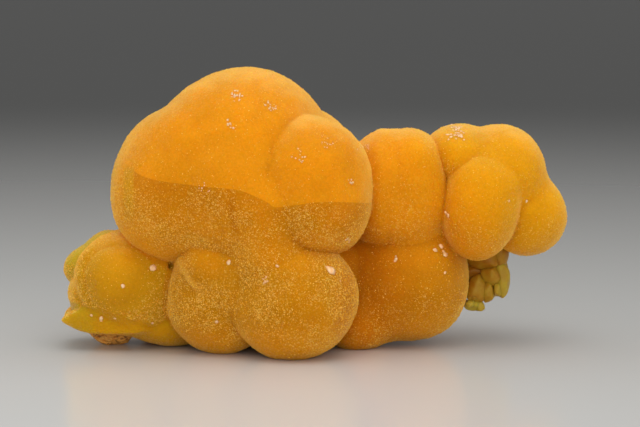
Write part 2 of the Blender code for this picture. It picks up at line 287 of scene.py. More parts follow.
def new_piece(name, points, faces, material=None, smooth=True):
    """An object from points in metres and arrays of faces, each with three or four corners a row."""
    mesh = bpy.data.meshes.new(name)
    corners = np.concatenate([rows.ravel() for rows in faces])
    sides = np.concatenate([np.full(len(rows), rows.shape[1]) for rows in faces])
    mesh.vertices.add(len(points))
    mesh.vertices.foreach_set("co", points.astype(np.float32).ravel())
    mesh.loops.add(len(corners))
    mesh.loops.foreach_set("vertex_index", corners.astype(np.int32))
    mesh.polygons.add(len(sides))
    mesh.polygons.foreach_set("loop_start", (np.cumsum(sides) - sides).astype(np.int32))
    mesh.polygons.foreach_set("use_smooth", np.full(len(sides), smooth))
    mesh.update(calc_edges=True)
    if mesh.validate():
        raise RuntimeError(f"{name} has bad faces")
    piece = bpy.data.objects.new(name, mesh)
    bpy.context.scene.collection.objects.link(piece)
    if material:
        mesh.materials.append(material)
    return piece


def add_attribute(piece, name, values):
    """A float on each vertex, for the material."""
    layer = piece.data.attributes.new(name, "FLOAT", "POINT")
    layer.data.foreach_set("value", np.asarray(values, np.float32))


def closed_grid(rows, columns):
    """Faces of a closed grid: one pole, rows of columns points, and the other pole."""
    ring = np.arange(columns)
    after = (ring + 1) % columns
    row = 1 + columns * np.arange(rows - 1)[:, None]
    quads = np.stack([row + ring, row + columns + ring, row + columns + after, row + after], axis=-1)
    last = 1 + columns * (rows - 1)
    end = 1 + columns * rows
    top = np.stack([np.zeros(columns, int), 1 + ring, 1 + after], axis=-1)
    foot = np.stack([np.full(columns, end), last + after, last + ring], axis=-1)
    return quads.reshape(-1, 4), np.concatenate([top, foot])


def repeat_faces(faces, corners_each, copies):
    """The same faces for every copy, each copy's corners counted on from the one before."""
    steps = corners_each * np.arange(copies)
    return [(rows[None] + steps[:, None, None]).reshape(-1, rows.shape[1]) for rows in faces]


def ball_grid(rows, columns):
    """Points of a unit ball: (sin v cos u, sin v sin u, cos v), pole first, v down the rows, u round them."""
    v = math.pi * (np.arange(rows) + 1) / (rows + 1)
    u = 2.0 * math.pi * np.arange(columns) / columns
    ring = np.stack([
        np.sin(v)[:, None] * np.cos(u),
        np.sin(v)[:, None] * np.sin(u),
        np.cos(v)[:, None] * np.ones(columns),
    ], axis=-1).reshape(-1, 3)
    return np.concatenate([[[0.0, 0.0, 1.0]], ring, [[0.0, 0.0, -1.0]]])


def globule_distances(points):
    """Each globule's distance from each point, |q| (|q| - 1) / |q / half| with q = (p - centre) / half."""
    q = (points[:, None, :] - CENTRES) / HALVES
    reach = np.linalg.norm(q, axis=2)
    slope = q / HALVES
    steep = np.linalg.norm(slope, axis=2)
    return reach * (reach - 1.0) / steep, slope / steep[..., None]


def soft_least(distances, slopes, softness):
    """The soft least of the columns, -k log(sum exp(-d / k)), and the slopes mixed by the same weights."""
    least = distances.min(axis=1, keepdims=True)
    weights = np.exp((least - distances) / softness)
    total = weights.sum(axis=1, keepdims=True)
    mixed = (slopes * (weights / total)[..., None]).sum(axis=1)
    return least - softness * np.log(total), mixed[:, None, :]


def broken(points, distances, slopes):
    """The greatest of the distances and of those from the flat breaks, softened: what the breaks leave."""
    places, facing = (np.array(part) for part in zip(*BREAKS))
    facing = unit(facing)
    flats = ((points[:, None] - places) * facing).sum(axis=2)
    both = np.concatenate([distances[:, None], flats], axis=1)
    sides = np.concatenate([slopes[:, None], np.broadcast_to(facing, (len(points), *facing.shape))], axis=1)
    least, slope = soft_least(-both, -sides, 0.20)
    return -least[:, 0], -slope[:, 0]


def grown_distance(points):
    """Distance from the grown mass, and its slope."""
    distances, slopes = globule_distances(points)
    soft = [name for names, _ in SOFT_GROUPS for name in names]
    alone = [NAMES.index(name) for name in NAMES if name not in soft]
    groups = [(distances[:, alone], slopes[:, alone])]
    lip = NAMES.index("lip")
    distances[:, lip], slopes[:, lip] = broken(points, distances[:, lip], slopes[:, lip])
    for names, softness in SOFT_GROUPS:
        members = [NAMES.index(name) for name in names]
        groups.append(soft_least(distances[:, members], slopes[:, members], softness))
    joined = np.concatenate([part[0] for part in groups], axis=1)
    total, slope = soft_least(joined, np.concatenate([part[1] for part in groups], axis=1), CRISP)
    return total[:, 0], slope[:, 0]


def settle(points, rounds=4):
    """Move the points onto the grown surface, along its slope, by their distance from it."""
    for _ in range(rounds):
        distance, slope = grown_distance(points)
        points = points - slope * (distance / (slope ** 2).sum(axis=1))[:, None]
    return points


def fused_skin(step):
    """Points and quads of a skin round all the globules: ball grids, cut at the breaks, joined by a voxel remesh."""
    rows, columns = 60, 120
    ball = ball_grid(rows, columns)
    points = (CENTRES[:, None] + ball * HALVES[:, None]).reshape(-1, 3)
    lip = slice(NAMES.index("lip") * len(ball), (NAMES.index("lip") + 1) * len(ball))
    for place, facing in BREAKS:
        out = unit(np.array(facing))
        points[lip] -= np.maximum((points[lip] - place) @ out, 0.0)[:, None] * out
    faces = repeat_faces(closed_grid(rows, columns), len(ball), len(CENTRES))
    balls = new_piece("balls", points * MM, faces)
    fuse = balls.modifiers.new("fuse", "REMESH")
    fuse.mode = "VOXEL"
    fuse.voxel_size = step
    skin = bpy.data.meshes.new_from_object(balls.evaluated_get(bpy.context.evaluated_depsgraph_get()))
    bpy.data.objects.remove(balls)
    found = np.empty(len(skin.vertices) * 3, np.float32)
    skin.vertices.foreach_get("co", found)
    quads = np.empty(len(skin.loops), np.int32)
    skin.loops.foreach_get("vertex_index", quads)
    return found.reshape(-1, 3).astype(float) / MM, quads.reshape(-1, 4)


def valley_shade_of(points):
    """Painted shade: 1 deep in the valley where two globules meet at a steep angle, on the one behind, 0 half a
    millimetre away.
    """
    distances, slopes = globule_distances(points)
    nearest = np.argsort(distances, axis=1)[:, :2]
    gap = np.diff(np.take_along_axis(distances, nearest, axis=1), axis=1)[:, 0]
    facing = np.take_along_axis(slopes, nearest[..., None], axis=1)
    bend = 1.0 - (facing[:, 0] * facing[:, 1]).sum(axis=1)
    behind = np.diff(CENTRES[nearest][..., 1], axis=1)[:, 0]
    return np.exp(-gap / 0.5) * smooth_step(0.15, 1.1, bend) * smooth_step(1.5, -1.5, behind)


def share_of(points, names):
    """1 where the nearest globule is one of these, 0 elsewhere, with a short soft edge."""
    distances, _ = globule_distances(points)
    members = [NAMES.index(name) for name in names]
    others = [number for number in range(len(NAMES)) if number not in members]
    inside = distances[:, members].min(axis=1)
    outside = distances[:, others].min(axis=1)
    return smooth_step(-0.15, 0.15, outside - inside)


def knuckle_arc(points, normals, shift=0.0, width=0.22):
    """1 along the edge of an outer layer, an arc on the left front globule, 0 elsewhere."""
    x, z, radius = KNUCKLE_ARC
    away = np.hypot(points[:, 0] - x, points[:, 2] - z) - radius - shift
    ends = smooth_step(9.3, 8.8, points[:, 2]) * smooth_step(5.5, 6.3, points[:, 2])
    front = share_of(points, ("foot_left", "knuckle", "instep")) * smooth_step(0.1, 0.4, -normals[:, 1])
    return np.exp(-(away / width) ** 2) * ends * front


def pit_of(points):
    """1 in the small dark pit between the head, the dome and the left front globule, 0 elsewhere; its dark colour is
    painted shade.
    """
    away = np.hypot(points[:, 0] - PIT[0], (points[:, 2] - PIT[1]) * 0.8)
    return np.exp(-(away / 0.19) ** 2) * smooth_step(0.0, -1.0, points[:, 1])


def dome_away(points):
    """Distance from the middle of the dome on the left, seen from the front, in millimetres."""
    return np.linalg.norm((points - CENTRES[NAMES.index("side_dome")])[:, (0, 2)], axis=1)


def frost_of(points, normals, head):
    """How thick the sparkling druse is: most on faces that look a little down, least above the edge of the painted
    shade on the head.
    """
    down = -(normals @ unit(np.array([0.25, -0.10, 0.90])))
    under = smooth_step(-0.45, 0.25, down) * (1.0 - 0.92 * smooth_step(0.45, 0.75, down))
    edge = np.interp(points[:, 0], SHADE_EDGE_X, SHADE_EDGE_Z)
    above = head * smooth_step(-0.1, 0.1, points[:, 2] - edge)
    patches = 0.78 + 0.45 * swells(points, 5.0, 31) + 0.28 * swells(points, 2.2, 32)
    side = share_of(points, ("side_lobe", "side_dome", "side_body", "side_neck", "side_skirt"))
    ring = smooth_step(2.0, 3.2, dome_away(points))
    feet = share_of(points, ("foot_left", "foot_right", "knuckle", "instep", "jaw"))
    under = np.maximum(under, 0.75 * feet * smooth_step(0.75, 0.45, down))
    knuckle = share_of(points, ("foot_left", "knuckle", "instep")) * smooth_step(6.0, 7.6, points[:, 2])
    under *= 1.0 - 0.75 * knuckle - 0.5 * knuckle_arc(points, normals, 0.6, 0.30)
    frost = np.clip((0.10 + 0.90 * under) * patches, 0.0, 1.0) * (1.0 - 0.80 * above)
    frost *= 1.0 - 0.45 * share_of(points, tuple(ARM) + tuple(LEG))
    rim = share_of(points, ("foot_left", "knuckle")) * smooth_step(0.35, 0.75, -normals[:, 0])
    frost = np.maximum.reduce([frost, knuckle_arc(points, normals), 0.8 * rim * smooth_step(2.0, 4.5, points[:, 2])])
    rim = np.exp(-((dome_away(points) - 3.55) / 0.40) ** 2) * smooth_step(-0.3, 0.25, -normals[:, 0])
    return frost * (1.0 - side) + np.maximum.reduce([ring * (0.4 + 0.4 * under), rim, np.full(len(points), 0.06)]) * side


def rim_sheen_of(points, normals):
    """Painted rim sheen: 1 on the flanks and tops of the globules, 0 on their fronts."""
    turn = 1.0 - np.abs(normals[:, 1]) + 0.06 * swells(points, 1.6, 51)
    return smooth_step(0.35, 0.85, turn) * smooth_step(-0.9, -0.3, normals[:, 2])


def chin_groove(points, normals):
    """1 along the upright groove beside the chin, 0 elsewhere."""
    line_x = CHIN_GROOVE_X + 0.15 * np.sin(points[:, 2] * 1.3)
    groove = np.exp(-((points[:, 0] - line_x) / 0.30) ** 2) * smooth_step(0.4, 0.8, -normals[:, 1])
    return groove * smooth_step(10.6, 11.6, points[:, 2]) * smooth_step(14.9, 13.2, points[:, 2])


def ridges_of(points, normals):
    """Low relief in millimetres: swells along the arm, the arc, the groove, the pit, and terraces on the left."""
    arm = share_of(points, ("arm_first", "arm_second"))
    upright = 0.025 * np.sin(points[:, 0] * 4.6 + 0.8 * np.sin(points[:, 2] * 0.5)) * arm
    side = share_of(points, ("side_lobe", "side_dome", "side_body", "side_skirt"))
    away = dome_away(points) + 0.10 * swells(points, 2.5, 12)
    terraces = (0.22 * np.exp(-((away - 3.55) / 0.26) ** 2) - 0.12 * np.exp(-((away - 3.10) / 0.16) ** 2)
                - 0.16 * np.exp(-((away - 4.15) / 0.20) ** 2))
    leftward = smooth_step(-0.3, 0.25, -normals[:, 0])
    relief = upright + terraces * side * leftward + 0.26 * knuckle_arc(points, normals)
    return relief - 0.12 * chin_groove(points, normals) - 0.5 * pit_of(points)


def row_place(points):
    """Growth millimetres to frame metres: the z axis of the frame goes through the middle of the mass's box."""
    return (points - np.array(GROWTH_MIDDLE)) * MM


def camera_axes():
    """The camera's place in frame metres, and its right, up and backward directions."""
    back = np.array([0.0, -math.cos(CAMERA_DOWN), math.sin(CAMERA_DOWN)])
    up = np.array([0.0, math.sin(CAMERA_DOWN), math.cos(CAMERA_DOWN)])
    place = row_place(np.array(LOOK_AT)) + back * CAMERA_AWAY * MM
    return place, np.array([1.0, 0.0, 0.0]), up, back


def photo_places(points):
    """Column and row of the photo where each point shows, and how far it is from the camera."""
    place, right, up, back = camera_axes()
    ray = points - place
    away = -(ray @ back)
    scale = LENS / SENSOR * PHOTO_WIDE / away
    return PHOTO_WIDE / 2 + (ray @ right) * scale, PHOTO_HIGH / 2 - (ray @ up) * scale, away


def mesh_arrays(piece):
    """Points, normals and triangles of a finished piece."""
    mesh = piece.data
    points = np.empty(len(mesh.vertices) * 3, np.float32)
    mesh.vertices.foreach_get("co", points)
    normals = np.empty(len(mesh.vertices) * 3, np.float32)
    mesh.vertices.foreach_get("normal", normals)
    mesh.calc_loop_triangles()
    triangles = np.empty(len(mesh.loop_triangles) * 3, np.int32)
    mesh.loop_triangles.foreach_get("vertices", triangles)
    return points.reshape(-1, 3).astype(float), normals.reshape(-1, 3).astype(float), triangles.reshape(-1, 3)


def attribute_values(piece, name):
    """The values of a float attribute on the piece's vertices."""
    values = np.empty(len(piece.data.vertices), np.float32)
    piece.data.attributes[name].data.foreach_get("value", values)
    return values.astype(float)


def crossways(normals, rng):
    """Two directions across each normal, at right angles, turned by a seeded angle."""
    helper = np.where(np.abs(normals[:, :1]) < 0.8, [[1.0, 0.0, 0.0]], [[0.0, 1.0, 0.0]])
    first = unit(np.cross(normals, helper))
    second = np.cross(normals, first)
    angle = rng.uniform(0.0, 2.0 * math.pi, len(normals))[:, None]
    return first * np.cos(angle) + second * np.sin(angle), second * np.cos(angle) - first * np.sin(angle)


def grow_mass(sizes, material):
    """The mass: the fused skin settled on the grown surface, then raised by swells, ridges and a grainy druse."""
    skin, quads = fused_skin(sizes.surface_step)
    points = settle(skin)
    _, slope = grown_distance(points)
    normals = unit(slope)
    head = share_of(points, tuple(HEAD))
    waxy = share_of(points, WAXY) * smooth_step(0.45, 0.25, normals[:, 2])
    tip = share_of(points, ("lip",)) * smooth_step(-18.5, -21.0, points[:, 0])
    frost = np.maximum(frost_of(points, normals, head), 0.8 * tip) * (1.0 - waxy)
    # Painted shade in the valleys and along the groove beside the chin.
    valleys_shaded = np.maximum(valley_shade_of(points), 0.7 * chin_groove(points, normals))
    rng = np.random.default_rng(7)
    grain = rng.uniform(0.0, 1.0, len(points)) ** 2 * (0.35 + 0.65 * frost) * (1.0 - 0.85 * waxy)
    swell = 0.7 * swells(points, 1.7, 3) + 0.3 * swells(points, 0.7, 4)
    rise = swell * sizes.lump_height / MM + ridges_of(points, normals) + grain * sizes.druse_height / MM
    placed = row_place(uneven(points + normals * rise[:, None]))
    placed[:, 2] = np.maximum(placed[:, 2], 0.0)
    mass = new_piece("mimetite_globules", placed, [quads], material)
    add_attribute(mass, "head", head)
    add_attribute(mass, "waxy", waxy)
    add_attribute(mass, "frost", frost)
    # Painted sheen on the flanks and tops, with the pale band along the arc.
    pale = np.maximum(rim_sheen_of(points, normals), 0.8 * knuckle_arc(points, normals))
    add_attribute(mass, "flank_sheen_and_arc", pale * (1.0 - waxy))
    add_attribute(mass, "valley", valleys_shaded)
    add_attribute(mass, "pit", pit_of(points))
    add_attribute(mass, "green", np.maximum(share_of(points, ("green_bump", "green_top")), 0.55 * tip))
    add_attribute(mass, "side", share_of(points, tuple(SIDE)))
    return mass


def grow_druse(mass, sizes, material, name, seed):
    """Loose druse: three-sided pyramids on seeded spots of the mass, their axes tipped from its normal."""
    points, normals, triangles = mesh_arrays(mass)
    frost = attribute_values(mass, "frost")
    a, b, c = (points[triangles[:, corner]] for corner in range(3))
    bare = attribute_values(mass, "waxy")[triangles].mean(axis=1)
    weight = 0.07 * (1.0 - bare) + frost[triangles].mean(axis=1) ** 2.2
    weight *= np.linalg.norm(np.cross(b - a, c - a), axis=1)
    weight[a[:, 2] < 0.3 * MM] = 0.0
    rng = np.random.default_rng(seed)
    chosen = rng.choice(len(triangles), sizes.crystal_count, p=weight / weight.sum())
    share = np.sort(rng.uniform(0.0, 1.0, (len(chosen), 2)), axis=1)
    u, v = share[:, :1], share[:, 1:] - share[:, :1]
    spot = a[chosen] * (1.0 - u - v) + b[chosen] * u + c[chosen] * v
    axis = unit(normals[triangles[chosen, 0]] + rng.normal(0.0, 0.30, (len(chosen), 3)))
    across, along = crossways(axis, rng)
    radius = sizes.crystal_radius * (0.55 + 1.35 * rng.uniform(0.0, 1.0, (len(chosen), 1)) ** 3)
    height = radius * rng.uniform(0.7, 1.3, (len(chosen), 1))
    base = spot - axis * 0.35 * height
    angles = 2.0 * math.pi / 3.0 * np.arange(3)
    feet = [base + (across * math.cos(angle) + along * math.sin(angle)) * radius for angle in angles]
    corners = np.stack([*feet, spot + axis * height * 0.75], axis=1)
    faces = repeat_faces([np.array([[0, 2, 1], [0, 1, 3], [1, 2, 3], [2, 0, 3]])], 4, len(chosen))
    druse = new_piece(name, corners.reshape(-1, 3), faces, material, smooth=False)
    add_attribute(druse, "tint", np.repeat(rng.uniform(0.0, 1.0, len(chosen)), 4))
    return druse


def grow_grains(mass, material):
    """Pale grains: lumpy flattened balls half sunk in the mass, at the spots where the photo shows them."""
    points, normals, _ = mesh_arrays(mass)
    across, down, away = photo_places(points)
    place, _, _, _ = camera_axes()
    facing = ((place - points) * normals).sum(axis=1) > 0.0
    rng = np.random.default_rng(23)
    spots, sizes = [], []
    for column, row, spread, size, count in GRAINS:
        for _ in range(count):
            shift = rng.normal(0.0, 1.0, 2) * spread / 0.09
            near = facing & (np.hypot(across - column - shift[0], down - row - shift[1]) < 2.2)
            found = np.nonzero(near)[0]
            if len(found):
                spots.append(found[np.argmin(away[found])])
                sizes.append(size * rng.uniform(0.7, 1.2))
    spots, sizes = np.array(spots), np.array(sizes)[:, None, None] * MM
    rows, columns = 4, 7
    ball = ball_grid(rows, columns)
    first, second = crossways(normals[spots], rng)
    lumps = 1.0 + 0.16 * rng.normal(size=(len(spots), len(ball), 1))
    squash = rng.uniform(0.7, 1.25, (len(spots), 3))
    local = ball * lumps * squash[:, None] * sizes
    shape = (local[..., :1] * first[:, None] + local[..., 1:2] * second[:, None]
             + local[..., 2:] * 0.45 * normals[spots][:, None])
    faces = repeat_faces(closed_grid(rows, columns), len(ball), len(spots))
    return new_piece("pale_grains", (points[spots][:, None] + shape).reshape(-1, 3), faces, material)


def faceted(ball, rng):
    """A block with flat faces: each direction goes as far as the nearest of 30 seeded planes round the middle."""
    facing = unit(rng.normal(size=(30, 3)))
    turned, _ = np.linalg.qr(np.eye(3) + rng.normal(0.0, 0.22, (3, 3)))
    facing = np.concatenate([facing, turned, -turned])
    reach = np.concatenate([rng.uniform(0.84, 1.0, 30), np.ones(6)])
    steep = np.maximum(ball @ facing.T, 1e-6) / reach
    return ball / ((steep ** 20).sum(axis=1) ** (1.0 / 20.0))[:, None]


def grow_cluster(material):
    """The olive cluster: its large faceted blocks, and seeded small ones on the lower of them."""
    table = np.array(BLOCKS)
    rng = np.random.default_rng(5)
    parent = rng.integers(2, 9, 6)
    out = unit(rng.normal(size=(len(parent), 3)) * [1.0, 1.0, 0.8] - [0.0, 0.4, 0.2])
    small = np.concatenate([
        table[parent, :3] + out * table[parent, 3:6] * 0.86,
        rng.uniform(0.28, 0.55, (len(parent), 3)),
        table[parent, 6:],
    ], axis=1)
    table = np.concatenate([table, small])
    rows, columns = 22, 44
    ball = ball_grid(rows, columns)
    blocks = [faceted(ball, rng) * entry[3:6] + entry[:3] for entry in table]
    points = row_place(np.concatenate(blocks))
    cluster = new_piece("olive_crystals", points, repeat_faces(closed_grid(rows, columns), len(ball), len(table)),
                        material, smooth=False)
    add_attribute(cluster, "hue", np.repeat(table[:, 6], len(ball)))
    return cluster


def grow_matrix(material):
    """The matrix crumb: ball grids with rough seeded relief, squeezed into the solid's box, level below."""
    low, high = (np.array(corner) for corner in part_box("brown_matrix"))
    low, high = low - [0.45 * MM, 0.0, 0.0], high + [0.55 * MM, 0.0, 0.15 * MM]
    middle, half = (low + high) / 2, (high - low) / 2
    rng = np.random.default_rng(17)
    rows, columns = 12, 24
    ball = ball_grid(rows, columns)
    places = np.concatenate([[[0.0, 0.0, 0.0]], unit(rng.normal(size=(90, 3))) * [0.80, 0.76, 0.60]])
    reach = np.concatenate([[0.76], rng.uniform(0.07, 0.24, 90)])
    shape = []
    for number, (place, size) in enumerate(zip(places, reach)):
        rough = 1.0 + 0.16 * swells(ball, 0.9, 40 + number) + 0.07 * swells(ball, 0.35, 90 + number)
        lump = ball * rough[:, None] * size
        shape.append(middle + (place + lump * [1.0, 1.0, 1.6]) * half)
    points = np.concatenate(shape)
    points[:, 2] = high[2] - (high[2] - points[:, 2]) * (1.0 - 0.55 * ((points[:, 0] - middle[0]) / half[0]) ** 2)
    points = np.clip(points, low - 0.3 * MM * np.array([1.0, 0.0, 0.0]), high + 0.3 * MM)
    faces = repeat_faces(closed_grid(rows, columns), len(ball), len(places))
    return new_piece("matrix_crumb", points, faces, material, smooth=False)


def node(tree, kind, inputs=None, **settings):
    """Add a node. Each input is a value, or the socket that feeds it."""
    made = tree.nodes.new(kind)
    for key, value in settings.items():
        setattr(made, key, value)
    for key, value in (inputs or {}).items():
        if isinstance(value, bpy.types.NodeSocket):
            tree.links.new(value, made.inputs[key])
        else:
            made.inputs[key].default_value = value
    return made


def sums(tree, operation, first, second=0.0, third=0.0):
    """The result of a Math node."""
    return node(tree, "ShaderNodeMath", {0: first, 1: second, 2: third}, operation=operation).outputs[0]


def ramp(tree, value, low, high, start=0.0, end=1.0):
    """A value that goes smoothly from start to end as the input goes from low to high."""
    inputs = {"Value": value, "From Min": low, "From Max": high, "To Min": start, "To Max": end}
    return node(tree, "ShaderNodeMapRange", inputs, interpolation_type="SMOOTHSTEP").outputs["Result"]


def mixed(tree, share, first, second, blend="MIX"):
    """Two colours mixed by a share."""
    inputs = {0: share, 6: first, 7: second}
    return node(tree, "ShaderNodeMix", inputs, data_type="RGBA", blend_type=blend).outputs[2]


def attribute(tree, name):
    """The value of a float attribute of the piece."""
    return node(tree, "ShaderNodeAttribute", attribute_name=name).outputs["Fac"]


def tone(colour):
    """A colour with full alpha, for a socket."""
    return (*colour, 1.0)


def new_material(name):
    """A material, its node tree and its shader."""
    material = bpy.data.materials.new(name)
    material.use_nodes = True
    return material, material.node_tree, material.node_tree.nodes["Principled BSDF"]


def facets(tree, place, layers):
    """The surface normal tipped a different way in every cell of each Voronoi layer, as crystal faces are.

    A layer is the cells' scale per metre and how far they tip.
    """
    normal = node(tree, "ShaderNodeNewGeometry").outputs["Normal"]
    for scale, tip in layers:
        cells = node(tree, "ShaderNodeTexVoronoi", {"Vector": place, "Scale": scale})
        centred = node(tree, "ShaderNodeVectorMath", {0: cells.outputs["Color"], 1: (0.5, 0.5, 0.5)},
                       operation="SUBTRACT").outputs[0]
        tipped = node(tree, "ShaderNodeVectorMath", {0: centred, "Scale": tip}, operation="SCALE").outputs[0]
        normal = node(tree, "ShaderNodeVectorMath", {0: normal, 1: tipped}, operation="ADD").outputs[0]
    return node(tree, "ShaderNodeVectorMath", {0: normal}, operation="NORMALIZE").outputs[0]


def shade_edge_depth(tree, x, z):
    """How far below the edge of the painted shade on the head: the edge, a curve over x, less z."""
    low, high = SHADE_EDGE_X[0], SHADE_EDGE_X[-1]
    floor, ceiling = 12.0, 18.0
    across = node(tree, "ShaderNodeMapRange", {
        "Value": x, "From Min": (low - GROWTH_MIDDLE[0]) * MM, "From Max": (high - GROWTH_MIDDLE[0]) * MM,
    }).outputs["Result"]
    curve = node(tree, "ShaderNodeFloatCurve", {"Value": across})
    line = curve.mapping.curves[0]
    for _ in range(len(SHADE_EDGE_X) - 2):
        line.points.new(0.5, 0.5)
    for point, edge_x, edge_z in zip(line.points, SHADE_EDGE_X, SHADE_EDGE_Z):
        point.location = ((edge_x - low) / (high - low), (edge_z - floor) / (ceiling - floor))
    curve.mapping.update()
    level = node(tree, "ShaderNodeMapRange", {
        "Value": curve.outputs[0], "To Min": floor * MM, "To Max": ceiling * MM,
    }).outputs["Result"]
    return sums(tree, "SUBTRACT", level, z)


def mimetite_material(colours):
    """Waxy amber crystal under a frosting of tiny faces, yellower along the arm; painted shade makes it deep orange in
    the valleys and under the arm, ochre low down and darker below the edge of the light on the head, with a painted
    sheen on the flanks and painted glints.
    """
    material, tree, shader = new_material("mimetite")
    place = node(tree, "ShaderNodeTexCoord").outputs["Object"]
    parts = node(tree, "ShaderNodeSeparateXYZ", {0: place})
    x, z = parts.outputs["X"], parts.outputs["Z"]
    clouds = node(tree, "ShaderNodeTexNoise", {"Vector": place, "Scale": 260.0, "Detail": 3.0}).outputs["Fac"]
    cells = node(tree, "ShaderNodeTexVoronoi", {"Vector": place, "Scale": 8000.0})
    dots = node(tree, "ShaderNodeSeparateColor", {0: cells.outputs["Color"]}).outputs[0]
    head, frost = attribute(tree, "head"), attribute(tree, "frost")

    along = sums(tree, "MULTIPLY_ADD", z, 0.8, x)
    colour = mixed(tree, ramp(tree, along, 18.5 * MM, 29.0 * MM), tone(colours.amber), tone(colours.honey))
    # Painted shade: the low globules under the head turn ochre, less so near the floor, where painted light bounces up
    # from it.
    low = sums(tree, "MULTIPLY", ramp(tree, z, 9.5 * MM, 7.0 * MM), ramp(tree, z, 0.5 * MM, 4.5 * MM, 0.1, 0.85))
    colour = mixed(tree, low, colour, tone(colours.low_shade_ochre))
    # Painted shade: deep orange in the valleys.
    colour = mixed(tree, sums(tree, "MULTIPLY", attribute(tree, "valley"), 0.55), colour, tone(colours.shade_orange))
    colour = mixed(tree, sums(tree, "MULTIPLY", attribute(tree, "side"), 0.6), colour, (0.58, 0.31, 0.006, 1.0))
    # Painted sheen: the flanks and tops turn pale peach.
    colour = mixed(tree, sums(tree, "MULTIPLY", attribute(tree, "flank_sheen_and_arc"), 0.7), colour, tone(colours.sheen_peach))
    colour = mixed(tree, sums(tree, "MULTIPLY", attribute(tree, "green"), 0.75), colour, tone(colours.moss))
    # Painted shade on the head's far left, below the edge of the light: a darker yellow stripe.
    left = sums(tree, "MULTIPLY", head, ramp(tree, x, -16.0 * MM, -15.7 * MM, 1.0, 0.0))
    left_shade = sums(tree, "MULTIPLY", left, ramp(tree, x, -17.0 * MM, -16.5 * MM))
    left_shade = sums(tree, "MULTIPLY", left_shade, sums(tree, "MULTIPLY", ramp(tree, z, 17.2 * MM, 16.4 * MM),
                                                 ramp(tree, z, 11.0 * MM, 14.0 * MM, 0.0, 0.6)))
    colour = mixed(tree, left_shade, colour, (0.56, 0.28, 0.003, 1.0))
    # Painted shade: the head is darkened below the edge of the overhead light, less on its low left.
    depth = shade_edge_depth(tree, x, z)
    below = sums(tree, "MULTIPLY", ramp(tree, depth, -0.05 * MM, 0.05 * MM), ramp(tree, depth, 0.0, 5.0 * MM, 1.0, 0.45))
    below = sums(tree, "MULTIPLY", sums(tree, "SUBTRACT", head, sums(tree, "MULTIPLY", left, 0.9)), below)
    low_left = sums(tree, "MULTIPLY", ramp(tree, x, -12.0 * MM, -15.0 * MM), ramp(tree, z, 13.5 * MM, 11.5 * MM, 0.0, 0.9))
    below = sums(tree, "MULTIPLY", below, sums(tree, "SUBTRACT", 1.0, low_left))
    colour = mixed(tree, below, colour, (0.79, 0.72, 0.66, 1.0), blend="MULTIPLY")
    # Painted shade: deep orange under the arm, above the calf.
    thigh_shade = sums(tree, "MULTIPLY", ramp(tree, x, 11.5 * MM, 4.0 * MM), ramp(tree, x, 1.0 * MM, 3.0 * MM))
    thigh_shade = sums(tree, "MULTIPLY", thigh_shade, ramp(tree, z, 12.5 * MM, 8.5 * MM, 0.0, 0.6))
    colour = mixed(tree, thigh_shade, colour, tone(colours.shade_orange))
    # Painted shade: the pit is near black.
    colour = mixed(tree, attribute(tree, "pit"), colour, (0.06, 0.015, 0.001, 1.0))
    mottle = node(tree, "ShaderNodeTexNoise", {"Vector": place, "Scale": 5200.0, "Detail": 2.0}).outputs["Fac"]
    cloudy = sums(tree, "MULTIPLY", ramp(tree, clouds, 0.3, 0.7, 0.92, 1.05), ramp(tree, mottle, 0.3, 0.7, 0.95, 1.045))
    colour = mixed(tree, 1.0, colour, node(tree, "ShaderNodeCombineXYZ", {0: cloudy, 1: cloudy, 2: cloudy}).outputs[0],
                   blend="MULTIPLY")
    # Painted glints: frost-coloured specks in a few random cells, where the druse is thick.
    painted_glints = sums(tree, "MULTIPLY", ramp(tree, dots, 0.80, 0.98), sums(tree, "MULTIPLY", frost, 0.55))
    colour = mixed(tree, painted_glints, colour, tone(colours.frost))

    tree.links.new(colour, shader.inputs["Base Color"])
    tree.links.new(ramp(tree, attribute(tree, "waxy"), 0.0, 1.0, 0.45, 0.30), shader.inputs["Roughness"])
    shader.inputs["Subsurface Weight"].default_value = 0.85
    shader.inputs["Subsurface Radius"].default_value = (1.0, 0.50, 0.10)
    shader.inputs["Subsurface Scale"].default_value = 0.0040
    shader.inputs["IOR"].default_value = 1.5
    shader.inputs["Specular IOR Level"].default_value = 0.3
    shader.inputs["Specular Tint"].default_value = (1.0, 0.58, 0.06, 1.0)
    shader.inputs["Sheen Weight"].default_value = 0.45
    shader.inputs["Sheen Roughness"].default_value = 0.4
    shader.inputs["Sheen Tint"].default_value = (1.0, 0.58, 0.10, 1.0)
    normal = facets(tree, place, ((9000.0, 0.55), (4200.0, 0.12)))
    tree.links.new(normal, shader.inputs["Normal"])
    return material


def druse_material(colours):
    """Clear pale amber crystal faces, some tinted to the frost colour as a painted glint."""
    material, tree, shader = new_material("druse")
    tint = attribute(tree, "tint")
    colour = mixed(tree, ramp(tree, tint, 0.35, 0.95), (0.88, 0.40, 0.02, 1.0), tone(colours.frost))
    tree.links.new(colour, shader.inputs["Base Color"])
    shader.inputs["Roughness"].default_value = 0.16
    shader.inputs["IOR"].default_value = 1.5
    shader.inputs["Specular Tint"].default_value = (1.0, 0.62, 0.12, 1.0)
    shader.inputs["Subsurface Weight"].default_value = 0.3
    shader.inputs["Subsurface Radius"].default_value = (1.0, 0.5, 0.2)
    shader.inputs["Subsurface Scale"].default_value = 0.0001
    return material


